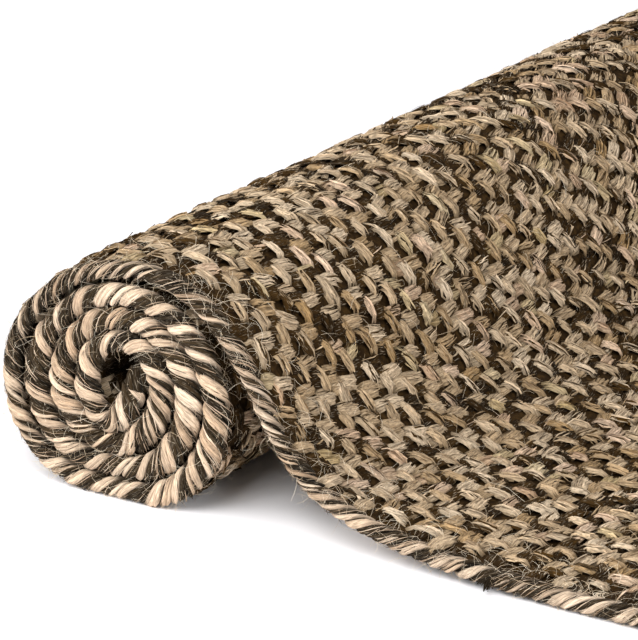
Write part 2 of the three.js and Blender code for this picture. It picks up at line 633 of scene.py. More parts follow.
@dataclass
class Plait:
    """The pattern of the cloth's face: yarns over and under each other in rows that curve across the rug.

    The rows leave the near edge at near_slope and bend to far_slope over turn_run, and waves shift them.
    Black strokes lie in streaks, which follow streak_slant. More of them lie before crest_end, on the roll,
    partly as the black yarn seen there and partly as painted shade that darkens the roll's top.
    """

    column_step: float = 10.3
    row_step: float = 18.4
    near_slope: float = math.radians(38)
    far_slope: float = math.radians(23)
    turn_start: float = 20.0
    turn_run: float = 360.0
    slope_step: float = 0.5
    slope_ends: Tuple[float, float] = (-40.0, 60.0)
    column_ends: Tuple[float, float] = (-20.0, 30.0)
    margin: float = 3.0
    weft: Arm = Arm(15.4, 7.2, math.radians(9), math.radians(-25), (0.0, 0.0), (0.0, 0.0), -0.1, 3, 9)
    warp: Arm = Arm(13.2, 5.8, math.radians(88), math.radians(62), (-6.0, 3.0), (-5.3, 4.6), 0.2, 2, 7)
    fill: Arm = Arm(13.0, 7.5, math.radians(10), math.radians(-20), (2.5, 7.2), (2.5, 7.2), -0.9, 2, 3, 4)
    waves: Tuple[Ripple, Ripple] = (Ripple(1.2, 21, 34.0, 34.0), Ripple(1.4, 22, 34.0, 34.0))
    knot_spread: float = 0.5
    place_spread: float = 0.6
    angle_spread: float = math.radians(6)
    lift_spread: float = 0.25
    length_range: Tuple[float, float] = (0.85, 1.15)
    width_range: Tuple[float, float] = (0.8, 1.2)
    streak_slant: float = math.radians(28)
    streaks: Tuple[Ripple, Ripple] = (Ripple(0.65, 12, 28.0, 9.0), Ripple(0.4, 13, 14.0, 6.0))
    odd_spread: float = 0.5
    crest_end: float = 820.0
    crest_run: float = 80.0
    crest_black_and_shade: float = 0.75
    natural_share: float = 0.93
    fill_share: float = 0.2
    seed: int = 11

    def blend(self, across: Array) -> Array:
        """Returns how far the pattern has turned from its near form, 0, to its far form, 1."""
        part = np.clip((across - self.turn_start) / self.turn_run, 0, 1)
        return part * part * (3 - 2 * part)

    def lay(self, width: Tuple[float, float], along: Tuple[float, float]) -> List[Stitches]:
        """Lays the strokes out on one stretch of the open cloth.

        Args:
            width: lowest and highest distance across.
            along: lowest and highest distance along.

        Returns:
            The wefts, the warps and the low strokes that fill the gaps between them.
        """
        rng = np.random.default_rng(self.seed)
        y = np.arange(self.slope_ends[0], width[1] + self.slope_ends[1], self.slope_step)
        slope = self.near_slope + (self.far_slope - self.near_slope) * self.blend(y)
        drop = np.r_[0, np.cumsum(np.tan(slope[:-1]) * self.slope_step)]
        columns = np.arange(self.column_ends[0], width[1] + self.column_ends[1], self.column_step)
        first_row = math.floor((along[0] - drop.max()) / self.row_step) - 2
        rows = np.arange(first_row, along[1] / self.row_step + 2)
        column, row = (a.ravel() for a in np.meshgrid(columns, rows))
        across = column + rng.normal(0, self.knot_spread, column.size)
        down = row * self.row_step + np.interp(across, y, drop)
        down = down + rng.normal(0, self.knot_spread, column.size)
        across = across + self.waves[0](column, down)
        down = down + self.waves[1](column, down)
        part = self.blend(across)
        kinds = []
        for arm in (self.weft, self.warp, self.fill):
            count = across.size
            (x0, s0), (x1, s1) = arm.near_offset, arm.far_offset
            a = across + x0 + (x1 - x0) * part + rng.normal(0, self.place_spread, count)
            s = down + s0 + (s1 - s0) * part + rng.normal(0, self.place_spread, count)
            turned = arm.near_angle + (arm.far_angle - arm.near_angle) * part
            strokes = Stitches(
                across=a,
                along=s,
                angle=turned + rng.normal(0, self.angle_spread, count),
                length=arm.length * rng.uniform(*self.length_range, count),
                width=arm.width * rng.uniform(*self.width_range, count),
                dye=self.dyes(a, s, self.fill_share if arm is self.fill else self.natural_share, rng),
                lift=arm.lift + rng.normal(0, self.lift_spread, count),
            )
            inside = (a > width[0] + self.margin) & (a < width[1] - self.margin)
            inside = inside & (s > along[0] + self.margin) & (s < along[1] - self.margin)
            kinds.append(strokes.part(inside))
        return kinds

    def dyes(self, across: Array, along: Array, share: float, rng: np.random.Generator) -> Array:
        """Dyes the strokes in streaks that follow the rows, with odd strokes of the other dye.

        Args:
            across: the strokes' distances across.
            along: the strokes' distances along.
            share: the share of natural strokes.
            rng: the source of the odd strokes.

        Returns:
            The value of a Dye for each stroke.
        """
        u = across * math.cos(self.streak_slant) + along * math.sin(self.streak_slant)
        w = along * math.cos(self.streak_slant) - across * math.sin(self.streak_slant)
        value = self.streaks[0](u, w) + self.streaks[1](u, w) + rng.normal(0, self.odd_spread, len(across))
        limit = np.quantile(value, share)
        # More black strokes before crest_end: partly black yarn seen on the roll, partly painted shade on
        # the roll's top.
        value = value + self.crest_black_and_shade * np.clip((self.crest_end - along) / self.crest_run, 0, 1)
        return np.where(value < limit, Dye.NATURAL.value, Dye.BLACK.value)


class Side(Enum):
    """The two sides of the cloth, as the sign of a height."""

    FACE = 1
    BACK = -1


@dataclass(frozen=True)
class PlyForm:
    """The form of a stroke's plies, in millimetres or parts of the stroke's size.

    What is named far is added as the pattern turns to its far form, and what is named spread is random.
    """

    half_width: float = 0.66
    far_half_width: float = -0.16
    half_width_spread: float = 0.1
    taper: float = 0.25
    lane: float = 0.38
    far_lane: float = 0.06
    lane_spread: float = 0.08
    length_spread: float = 0.1
    shift_spread: float = 0.7
    skew_spread: float = 0.05
    rough_spread: Tuple[float, float, float] = (0.4, 0.28, 0.2)
    ridge: float = 0.25
    side: float = -0.4
    far_side: float = -0.4
    # Painted shade: the plies' sides are darker than their ridges, more so as the pattern turns, for the
    # shade between plies.
    ridge_painted_shade: float = 0.95
    side_painted_shade: float = 0.8
    far_side_painted_shade: float = -0.2
    tone_range: Tuple[float, float] = (0.82, 1.12)


@dataclass(frozen=True)
class FibreForm:
    """The form of the loose fibres on a stroke, in millimetres or parts of the stroke's size."""

    rings: int = 4
    lane_reach: float = 0.95
    oval: float = 0.15
    taper: float = 0.6
    length_range: Tuple[float, float] = (0.5, 1.1)
    half_width_range: Tuple[float, float] = (0.14, 0.42)
    shift_spread: float = 1.5
    skew_spread: float = 0.08
    wave_spread: float = 0.3
    fray_share: float = 0.15
    fray_range: Tuple[float, float] = (0.4, 1.5)
    rise_range: Tuple[float, float] = (0.1, 0.7)
    tilt_spread: float = 0.2
    end_dip: float = 0.2
    tone_range: Tuple[float, float] = (0.78, 1.14)


@dataclass
class WovenField:
    """The rug's cloth: a dark ground sheet and the plaited yarns on its face and back.

    Only what shows has strokes. The face's begin at roll_start and go over to the next piece at face_start,
    and the back's begin at back_start, all before the place where the rug comes to lie flat. core_end is how
    far the roll's inmost turn shows its back, from the wound end; all its strokes are black, painted shade
    in the dark hole in the roll's middle.
    """

    line: RugLine
    rug: RugSizes
    palette: Palette = field(default_factory=Palette)
    plait: Plait = field(default_factory=Plait)
    roll_start: float = 565.0
    face_start: float = 190.0
    back_start: float = 330.0
    core_end: float = 150.0
    yarn_tuck: float = 1.5
    ground_tuck: float = 3.0
    ground_height: float = 2.3
    ground_step: float = 3.0
    ground_columns: int = 9
    crest: float = 5.1
    sunk: float = 1.2
    bow: float = 0.66
    bow_power: int = 5
    bow_edge: float = 0.55
    rounding: float = 0.30
    round_power: float = 2.6
    curl: Tuple[float, float] = (0.25, 0.4)
    curl_middle: float = 0.4
    ply_form: PlyForm = PlyForm()
    fibre_form: FibreForm = FibreForm()
    end_reach: float = 0.5
    swells: Tuple[Ripple, Ripple] = (Ripple(0.5, 31, 23.0, 23.0), Ripple(0.4, 32, 61.0, 47.0))
    # Painted shade: each stroke grows darker and browner towards its low parts, standing in for the shade
    # down between the strokes.
    painted_shade_hue: Colour = (1.0, 1.1, 1.3)
    painted_shade_least: float = 0.24
    painted_shade_start: float = 0.4
    painted_shade_run: float = 0.85
    texture_room: float = 400.0
    odd_plies: float = 0.07
    odd_fibres: float = 0.12
    yarn_finish: YarnFinish = YarnFinish("plaited_jute_yarn")
    ground_finish: GroundFinish = GroundFinish("jute_ground_painted_shade")

    def ground(self) -> bpy.types.Object:
        """Returns the closed sheet that fills the cloth between the yarns."""
        inset = self.rug.inset - self.ground_tuck
        rows = int((self.rug.length - 2 * inset) / self.ground_step)
        along = np.linspace(inset, self.rug.length - inset, rows)
        ring = np.r_[along, along[::-1]]
        height = np.r_[np.full(rows, self.ground_height), np.full(rows, -self.ground_height)]
        around, columns = len(ring), self.ground_columns
        across = np.linspace(inset, self.rug.width - inset, columns)
        points = self.line.place(np.repeat(across, around), np.tile(ring, columns), np.tile(height, columns))
        quads = grid_quads(columns, around, closed=True)
        strip = np.arange(rows - 1)
        cap = np.stack([strip, around - 1 - strip, around - 2 - strip, strip + 1], axis=-1)
        far = cap[:, ::-1] + (columns - 1) * around
        obj = mesh_object("cloth_ground_painted_shade", points, np.vstack([quads, cap, far]), smooth=False)
        obj.data.materials.append(self.ground_finish.material())
        return obj

    def relief(self, t: Array, u: Array, lift: Array) -> Array:
        """Shapes a stroke's surface, which is round across and dips at both ends.

        Args:
            t: places along the stroke, from -1 to 1.
            u: places across it, from -1 to 1.
            lift: how much higher than usual the stroke rises, in millimetres.

        Returns:
            Heights from the cloth's middle, in millimetres.
        """
        rise = self.crest - self.sunk
        round_top = np.sqrt(np.clip(1 - np.abs(u) ** self.round_power, 0, 1))
        bow = (1 - np.clip(np.abs(t), 0, 1) ** self.bow_power) * (self.bow * rise + lift)
        bow = bow * (self.bow_edge + (1 - self.bow_edge) * round_top)
        return self.sunk + bow + self.rounding * rise * round_top

    def bodies(self, strokes: Stitches, arm: Arm, curl: Array,
               rng: np.random.Generator) -> Tuple[Array, ...]:
        """Shapes the strokes' plies, which lie side by side with dark gaps here and there.

        Args:
            strokes: where the strokes lie.
            arm: the kind of stroke.
            curl: how far each stroke bends aside, in millimetres.
            rng: the source of the variation.

        Returns:
            Distances along, across and above each stroke, and how bright each point is.
        """
        form = self.ply_form
        length, width, lift = strokes.columns("length", "width", "lift")
        shape = (len(strokes.across), arm.plies, 1, 1)
        t = np.linspace(-1, 1, arm.rings)[None, None, :, None]
        v = np.array([-1.0, 0.0, 1.0])[None, None, None, :]
        middle = v == 0
        part = self.plait.blend(strokes.across)[:, None, None, None]
        rough = rng.normal(0, 1, (3, *shape[:2], arm.rings, 3))
        lane = ((np.arange(arm.plies) + 0.5) / arm.plies * 2 - 1)[None, :, None, None]
        lane = lane + rng.normal(0, form.lane_spread, shape)
        x = t * rng.normal(1, form.length_spread, shape) * length / 2
        x = x + rng.normal(0, form.shift_spread, shape) + form.rough_spread[0] * rough[0]
        half = form.half_width + form.far_half_width * part
        half = half + rng.uniform(-form.half_width_spread, form.half_width_spread, shape)
        y = lane * width * (form.lane + form.far_lane * part)
        y = y + v * (width / arm.plies * half) * (1 - form.taper * t ** 4)
        y = y + rng.normal(0, form.skew_spread, shape) * x + curl * (self.curl_middle - t ** 2)
        y = y + form.rough_spread[1] * rough[1]
        height = self.relief(t, lane, lift) + np.where(middle, form.ridge, form.side + form.far_side * part)
        height = height + form.rough_spread[2] * rough[2]
        # Painted shade on the ply's sides, then a random tone that is the yarn's own.
        tone = np.where(middle, form.ridge_painted_shade, form.side_painted_shade + form.far_side_painted_shade * part)
        tone = tone * rng.uniform(*form.tone_range, shape)
        return x, y, height, tone * np.ones_like(height)

    def fibres(self, strokes: Stitches, arm: Arm, curl: Array,
               rng: np.random.Generator) -> Tuple[Array, ...]:
        """Lays loose fibres on the strokes' bodies, so that their sides and ends fray.

        Args:
            strokes: where the strokes lie.
            arm: the kind of stroke.
            curl: how far each stroke bends aside, in millimetres.
            rng: the source of the variation.

        Returns:
            Distances along, across and above each stroke, and how bright each point is.
        """
        form = self.fibre_form
        length, width, lift = strokes.columns("length", "width", "lift")
        shape = (len(strokes.across), arm.fibres, 1, 1)
        t = np.linspace(-1, 1, form.rings)[None, None, :, None]
        v = np.array([-1.0, 1.0])[None, None, None, :]
        lane = (np.arange(arm.fibres) + rng.uniform(0, 1, shape[:2])) / arm.fibres
        lane = (lane * 2 * form.lane_reach - form.lane_reach)[:, :, None, None]
        x = t * rng.uniform(*form.length_range, shape) * length / 2
        x = x + rng.normal(0, form.shift_spread, shape)
        at = np.clip(2 * x / length, -1, 1)
        y = lane * width / 2 * (1 - form.oval + form.oval * np.sqrt(1 - form.lane_reach * at ** 2))
        y = y + curl * (self.curl_middle - at ** 2) + rng.normal(0, form.skew_spread, shape) * x
        y = y + rng.normal(0, form.wave_spread, (*shape[:2], form.rings, 1))
        y = y + v * rng.uniform(*form.half_width_range, shape) * (1 - form.taper * np.abs(t) ** 3)
        frayed = rng.uniform(0, 1, shape) < form.fray_share
        fray = np.where(frayed, rng.uniform(*form.fray_range, shape), 0.0)
        height = self.relief(at, np.clip(2 * y / width, -1, 1), lift)
        height = height + rng.uniform(*form.rise_range, shape) + v * rng.normal(0, form.tilt_spread, shape)
        height = height + (fray * np.clip(t, 0, 1) - form.end_dip) * t ** 2
        return x, y, height, rng.uniform(*form.tone_range, shape) * np.ones_like(height)

    def yarns(self, name: str, strokes: Stitches, side: Side, arm: Arm) -> bpy.types.Object:
        """Makes the strokes of one kind, which rise from the ground and dip under their neighbours.

        Args:
            name: name of the piece.
            strokes: where the strokes lie.
            side: the side of the cloth that they lie on.
            arm: the kind of stroke.

        Returns:
            One object with all the strokes.
        """
        count = len(strokes.across)
        rng = np.random.default_rng(count + arm.fibres)
        curl = rng.normal(*self.curl, (count, 1, 1, 1))
        colours = np.stack([self.palette.pick(strokes.dye, rng), self.palette.pick(1 - strokes.dye, rng)])
        middle_across, middle_along, angle = strokes.columns("across", "along", "angle")
        cos, sin = np.cos(angle), np.sin(angle)
        made: List[Tuple[Array, ...]] = []
        vertices = 0
        for (x, y, height, tone), odd in ((self.bodies(strokes, arm, curl, rng), self.odd_plies),
                                          (self.fibres(strokes, arm, curl, rng), self.odd_fibres)):
            across = middle_across + cos * x - sin * y
            along = middle_along + sin * x + cos * y
            along = np.clip(along, self.end_reach, self.rug.length - self.end_reach)
            swell = self.swells[0](across, along) + self.swells[1](across, along)
            points = self.line.place(across, along, (height + swell) * side.value)
            members, rings, columns = height.shape[1:]
            other = (rng.uniform(0, 1, (count, members)) < odd).astype(int)
            own = colours[other, np.arange(count)[:, None]][:, :, None, None, :]
            # Painted shade: the lower a point lies on its stroke, the darker and browner it is painted.
            risen = height - self.sunk - self.painted_shade_start
            risen = np.clip(risen / (self.painted_shade_run * (self.crest - self.sunk)), 0, 1)
            painted_shade_factor = self.painted_shade_least + (1 - self.painted_shade_least) * risen
            uvs = np.stack(np.broadcast_arrays(x, y), axis=-1)
            uvs = uvs + rng.uniform(0, self.texture_room, (count, members, 1, 1, 2))
            quads = grid_quads(rings, columns)[:, ::side.value]
            quads = repeated(quads, count * members, rings * columns) + vertices
            vertices += count * members * rings * columns
            colour = own * tone[..., None] * painted_shade_factor[..., None] ** np.array(self.painted_shade_hue)
            made.append((points.reshape(-1, 3), quads, colour.reshape(-1, 3), uvs.reshape(-1, 2)))
        return mesh_object(name, *(np.concatenate(arrays) for arrays in zip(*made)))

    def build(self) -> List[bpy.types.Object]:
        material = self.yarn_finish.material()
        inset = self.rug.inset - self.yarn_tuck
        width = (inset, self.rug.width - inset)
        curved, end = self.line.curved, self.rug.length - inset
        face, back = curved - self.face_start, curved - self.back_start
        stretches = {
            Side.FACE: {"roll_": (curved - self.roll_start, face), "face_": (face, end)},
            Side.BACK: {"back_": (back, end), "core_": (inset, self.core_end)},
        }
        arms = {"weft": self.plait.weft, "warp": self.plait.warp, "fill": self.plait.fill}
        pieces = []
        for side, named in stretches.items():
            ends = [limit for stretch in named.values() for limit in stretch]
            laid = self.plait.lay(width, (min(ends), max(ends)))
            for (kind, arm), strokes in zip(arms.items(), laid):
                arm = replace(arm, plies=1, fibres=1, rings=4) if side is Side.BACK else arm
                for name, (first, last) in named.items():
                    part = strokes.part((strokes.along >= first) & (strokes.along < last))
                    # Painted shade: the back of the roll's inmost turn, seen in the hole at the roll's
                    # middle, gets only black strokes.
                    if name == "core_":
                        part.dye[:] = Dye.BLACK.value
                    piece = self.yarns(name + kind, part, side, arm)
                    piece.data.materials.append(material)
                    pieces.append(piece)
        ground = self.ground()
        for piece in [ground, *pieces]:
            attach(piece, "root")
            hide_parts("woven_field")
        return [ground, *pieces]


@dataclass
class EdgeCord:
    """The twisted cord of natural and black strands that is sewn round the rug's edge.

    Its yarns lie on a dark core of black yarn, which is darkened further with painted shade, and every other
    strand is natural. Yarn points deep in the hollows between the strands are painted darker, as shade.
    Where a natural strand comes out it shows as a pale lens. At lens_places, which are distances along the
    rug, lens_sizes says how wide the lenses are, lens_ends how far out a strand has to be before its lens
    starts, and lens_tones how bright they are; they grow darker towards the flat end, painted shade that
    evens out the stronger lamp light on the flap. The runs are stretches of the near side where one dye
    shows, and what lies below its start goes on round the wound end's corner. The two black runs at the
    wound end are painted shade, so that the cord's end reads as part of the dark hole in the roll's middle;
    the later runs follow the cord's own dyes. In the roll the cord fills the room between the turns. It goes
    over to open_height from open_start, before the place where the rug lies flat, over open_run.
    """

    line: RugLine
    rug: RugSizes
    roll: RollSizes
    palette: Palette = Palette(natural_dark=srgb(170, 142, 114), natural_light=srgb(217, 194, 169),
                               black_dark=srgb(33, 25, 15), black_light=srgb(64, 50, 32))
    groups: int = 4
    yarns_per_group: int = 3
    pitch: float = 26.5
    lay_radius: float = 3.7
    yarn_radius: float = 1.42
    core_radius: float = 3.3
    # Painted shade: the dark core is darkened further, for the shade deep between the strands.
    core_painted_shade: float = 0.6
    corner_gap: float = 1.5
    end_reach: float = 1.5
    open_height: float = 0.84
    open_start: float = 420.0
    open_run: float = 60.0
    squeeze: float = 1.02
    wander: float = 0.55
    wander_cell: float = 23.0
    yarn_shift: float = 0.10
    shift_cell: float = 9.0
    bulge: float = 0.25
    bulge_cell: float = 7.0
    side_sink: float = 0.3
    even_swell: float = 0.6
    swell_rise: float = 0.7
    least_radius: float = 0.72
    swell_radius: float = 0.45
    odd_share: float = 0.09
    odd_yarn_share: float = 0.13
    lens_places: Tuple[float, ...] = (690.0, 735.0, 860.0, 900.0, 960.0)
    lens_sizes: Tuple[float, ...] = (1.0, 0.50, 0.50, 0.70, 0.82)
    lens_ends: Tuple[float, ...] = (0.42, 0.62, 0.65, 0.65, 0.54)
    # Painted shade: the lenses grow darker towards the flat end, evening out the stronger lamp light on the
    # flap.
    lens_tones: Tuple[float, ...] = (1.0, 0.96, 0.94, 0.92, 0.90)
    lens_full: float = 0.92
    least_lens: float = 0.06
    lens_power: float = 0.8
    lens_spread: float = 0.98
    black_swell: float = 0.4
    # Painted shade: the two black runs at the wound end darken the cord so it reads as part of the dark hole
    # in the roll's middle; the later runs follow the cord's own dyes.
    dye_and_painted_shade_runs: Tuple[Tuple[float, float, Dye], ...] = (
        (-130.0, -1.0, Dye.BLACK), (0.0, 16.0, Dye.BLACK), (757.0, 763.0, Dye.BLACK),
        (856.0, 868.0, Dye.NATURAL), (872.0, 884.0, Dye.BLACK), (970.0, 983.0, Dye.NATURAL),
        (984.0, 1010.0, Dye.BLACK), (1020.0, 1032.0, Dye.NATURAL), (1034.0, 1042.0, Dye.BLACK),
    )
    size_range: Tuple[float, float] = (0.55, 1.05)
    tone_range: Tuple[float, float] = (0.78, 1.15)
    mix_shape: Tuple[float, float] = (1.6, 1.2)
    # Painted shade: yarn points deep in the hollows between the strands are darkened.
    hollow_painted_shade: float = 0.30
    hollow_reach: float = 3.4
    hollow_run: float = 1.5
    texture_scale: Tuple[float, float] = (1.25, 1.4)
    texture_shift: float = 31.0
    loose_count: int = 1900
    loose_rings: int = 4
    loose_margin: float = 8.0
    loose_near_share: float = 0.7
    loose_length: Tuple[float, float] = (2.5, 6.5)
    loose_width: Tuple[float, float] = (0.12, 0.28)
    loose_start: Tuple[float, float] = (0.35, 1.6)
    loose_twist: float = 0.22
    loose_rise: float = 0.35
    finish: YarnFinish = YarnFinish("twisted_jute_cord", streak=0.5, painted_furrow_shade=0.3, bump=0.9, fuzz=0.03)
    seed: int = 5

    @property
    def low(self) -> float:
        """Distance from the rug's edges to where the cord's straight sides begin."""
        return self.rug.cord_width + self.corner_gap

    def spans(self) -> Tuple[Array, float]:
        """Returns the lengths of the loop's four straight sides and four bends, and the bends' radius."""
        middle = self.rug.cord_width / 2
        bend = middle + self.corner_gap
        long, wide = self.rug.length - 2 * (middle + bend), self.rug.width - 2 * (middle + bend)
        quarter = bend * math.pi / 2
        return np.array([long, quarter, wide, quarter, long, quarter, wide, quarter]), bend

    def route(self, travelled: Array) -> Tuple[Array, Array, Array]:
        """Follows the loop on the open rug, from the near edge's wound end round.

        Args:
            travelled: distances travelled along the loop, in millimetres.

        Returns:
            Distances across and along, and the direction of travel as an angle from along towards across.
        """
        spans, bend = self.spans()
        starts = np.r_[0, np.cumsum(spans)]
        low, top, right = self.low, self.rug.length - self.low, self.rug.width - self.low
        centres = ((top, low), (top, right), (low, right), (low, low))
        across, along, heading = (np.zeros_like(travelled) for _ in range(3))
        for side in range(4):
            turn = side * math.pi / 2
            straight = (travelled >= starts[2 * side]) & (travelled <= starts[2 * side + 1])
            gone = travelled[straight] - starts[2 * side]
            start = centres[side - 1]
            along[straight] = start[0] + math.cos(turn) * gone + math.sin(turn) * bend
            across[straight] = start[1] + math.sin(turn) * gone - math.cos(turn) * bend
            heading[straight] = turn
            curve = (travelled > starts[2 * side + 1]) & (travelled <= starts[2 * side + 2])
            angle = turn + (travelled[curve] - starts[2 * side + 1]) / bend
            along[curve] = centres[side][0] + np.sin(angle) * bend
            across[curve] = centres[side][1] - np.cos(angle) * bend
            heading[curve] = angle
        return across, along, heading

    def height_share(self, along: Array) -> Array:
        """Says how tall the cord is beside its round form.

        Args:
            along: distances along the rug.

        Returns:
            The cord's height at each distance, with 1 for its round form.
        """
        turn = self.line.angle(along) % (2 * math.pi)
        pitches = [side.pitch for side in self.roll.sides]
        places = np.arange(len(pitches) + 1)
        room = np.interp(turn / (2 * math.pi) * len(pitches), places, pitches + pitches[:1])
        share = room / (2 * (self.lay_radius + self.yarn_radius)) * self.squeeze
        open_part = np.clip((along - (self.line.curved - self.open_start)) / self.open_run, 0, 1)
        return share * (1 - open_part) + self.open_height * open_part

    def place(self, travelled: Array, out: Array, up: Array) -> Array:
        """Puts points of the cord into the model's frame.

        Args:
            travelled: distances along the loop.
            out: distances from the cord's middle towards the cloth, in millimetres.
            up: distances towards the face.

        Returns:
            One row of X, Y and Z in metres for each point.
        """
        across, along, heading = self.route(travelled)
        place_along = along - out * np.sin(heading)
        place_along = np.clip(place_along, -self.end_reach, self.rug.length + self.end_reach)
        return self.line.place(across + out * np.cos(heading), place_along, up * self.height_share(along))

    def loose_fibres(self, total: float, near: float) -> bpy.types.Object:
        """Lays flat fibres over the strands, nearly along them, so that the strands' sides fray.

        Args:
            total: length of the whole loop.
            near: length of its near side, which has most of the fibres.

        Returns:
            One object with all the fibres.
        """
        rng = np.random.default_rng(self.seed + 1)
        count, rings, margin = self.loose_count, self.loose_rings, self.loose_margin
        shape = (count, 1, 1)
        middle = np.where(rng.uniform(0, 1, shape) < self.loose_near_share,
                          rng.uniform(margin, near - margin, shape),
                          rng.uniform(near + margin, total - margin, shape))
        t, v = np.linspace(-1, 1, rings)[None, :, None], np.array([-1.0, 1.0])[None, None, :]
        half_length = rng.uniform(*self.loose_length, shape)
        half_width = rng.uniform(*self.loose_width, shape)
        travelled = middle + t * half_length + np.zeros_like(v)
        turn = 2 * math.pi / self.pitch * (travelled - middle) * rng.normal(1.0, self.loose_twist, shape)
        radius = self.lay_radius + self.yarn_radius
        taper = 1 - 0.7 * np.abs(t) ** 3
        phase = rng.uniform(*self.loose_start, shape) * math.pi - turn + v * half_width / 5.0 * taper
        reach = radius + rng.uniform(-0.3, 0.35, shape)
        reach = reach + self.loose_rise * rng.uniform(0, 1, shape) * t ** 2
        points = self.place(travelled, reach * np.cos(phase), reach * np.sin(phase))
        pale = rng.uniform(0, 1, (count, 1)) < 0.5
        mix = rng.uniform(0, 1, (count, 1))
        colour = np.where(pale, self.palette.mixed(Dye.NATURAL, mix), self.palette.mixed(Dye.BLACK, mix))
        corners = 2 * rings
        quads = repeated(grid_quads(rings, 2), count, corners)[:, ::-1]
        uvs = rng.uniform(0, 50, (count * corners, 2))
        colours = np.repeat(colour, corners, axis=0)
        return mesh_object("edge_cord_fibres", points.reshape(-1, 3), quads, colours, uvs)

    def near_side(self, travelled: Array) -> Array:
        """Returns distances along the rug for places up to the near side's end, and 0 for all others."""
        return np.where(travelled < self.rug.length, travelled + self.low, 0.0)

    def natural_lenses(self, outermost: Array, total: float, natural: Array) -> Array:
        """Sets the dye of a strand's lenses in the runs of set dye and painted shade.

        Args:
            outermost: the distances along the loop at which the strand comes out.
            total: length of the whole loop.
            natural: which lenses are natural without the dyed runs.

        Returns:
            Which lenses are natural.
        """
        for start, end, dye in self.dye_and_painted_shade_runs:
            first = (start - self.low) % total if start < self.low else start - self.low
            inside = (outermost > first) & (outermost < first + end - start)
            natural = np.where(inside, dye is Dye.NATURAL, natural)
        return natural

    def yarn(self, group: int, member: int, travelled: Array, total: float, sides: int) -> Tuple[Array, ...]:
        """Twists one yarn of one strand along part of the loop.

        Args:
            group: which strand it belongs to; every other strand is natural.
            member: which yarn of the strand it is, or -1 for the dark core of the cord.
            travelled: distances along the loop.
            total: length of the whole loop.
            sides: number of sides of the yarn.

        Returns:
            Its points in metres, its colours, and the distances along and round it, ring by ring.
        """
        turns = round(total / self.pitch)
        lenses = turns + 8
        rng = np.random.default_rng(self.seed + 100 + group)
        row = np.full_like(travelled, 3.3 + 0.2 * group)
        wobble = self.wander * Noise(self.seed)(travelled / self.wander_cell, row)
        phase = 2 * math.pi * (group / self.groups - turns * travelled / total) + wobble
        lens = np.floor(phase / (2 * math.pi)).astype(int) + turns + 3
        natural = (group % 2 == 0) ^ (rng.uniform(0, 1, lenses) < self.odd_share)
        outermost = (group / self.groups + turns + 2.5 - np.arange(lenses)) * total / turns
        natural = self.natural_lenses(outermost, total, natural)
        on_near = self.near_side(outermost)
        size = rng.uniform(*self.size_range, lenses) * np.interp(on_near, self.lens_places, self.lens_sizes)
        mix = rng.beta(*self.mix_shape, lenses)
        own = np.random.default_rng(self.seed + 200 + 10 * group + member)
        natural = natural ^ (own.uniform(0, 1, lenses) < self.odd_yarn_share)
        tone = own.uniform(*self.tone_range, lenses) * np.interp(on_near, self.lens_places, self.lens_tones)
        natural, size, mix, tone = natural[lens], size[lens], mix[lens], tone[lens]
        if member < 0:
            lay, radius = np.zeros_like(phase), np.full_like(phase, self.core_radius)
            # Painted shade: the core is black yarn, darkened further for the shade deep between the strands.
            natural, tone = natural & False, tone * self.core_painted_shade
        else:
            out_share = 0.5 - 0.5 * np.cos(phase)
            end = np.interp(self.near_side(travelled), self.lens_places, self.lens_ends)
            width = np.clip((out_share - end) / (self.lens_full - end), self.least_lens, 1)
            width = width ** self.lens_power * size
            spread = np.where(natural, self.lens_spread * width, 2.0 - self.lens_spread * width)
            side = member - (self.yarns_per_group - 1) / 2
            row = np.full_like(phase, own.uniform(0, 40))
            shift = self.yarn_shift * Noise(self.seed + 9)(travelled / self.shift_cell, row)
            phase = phase + side * spread * 2 * math.pi / (self.groups * self.yarns_per_group) + shift
            swell = np.where(natural, width, self.black_swell)
            row = np.full_like(phase, own.uniform(0, 40))
            bulge = self.bulge * Noise(self.seed + 4)(travelled / self.bulge_cell, row)
            lay = self.lay_radius + self.swell_rise * (swell - self.even_swell)
            lay = lay - self.side_sink * abs(side) + bulge
            radius = self.yarn_radius * (self.least_radius + self.swell_radius * swell)
        lay, radius, turned, far = (a[:, None] for a in (lay, radius, phase, travelled))
        around = np.linspace(0, 2 * math.pi, sides, endpoint=False)[None, :]
        out = lay * np.cos(turned) + radius * np.cos(around)
        up = lay * np.sin(turned) + radius * np.sin(around)
        points = self.place(np.broadcast_to(far, out.shape), out, up)
        mix = mix[:, None]
        colour = np.where(natural[:, None], self.palette.mixed(Dye.NATURAL, mix),
                          self.palette.mixed(Dye.BLACK, mix)) * tone[:, None]
        # Painted shade: the nearer a point lies to the cord's middle, the darker it is painted.
        risen = np.clip((np.hypot(out, up) - self.hollow_reach) / self.hollow_run, 0, 1)
        light = self.hollow_painted_shade + (1 - self.hollow_painted_shade) * risen
        along_scale, round_scale = self.texture_scale
        uvs = np.stack(np.broadcast_arrays(far * along_scale, (around - turned) * round_scale), axis=-1)
        return points, colour[:, None, :] * light[..., None], uvs + self.texture_shift * (group + member)

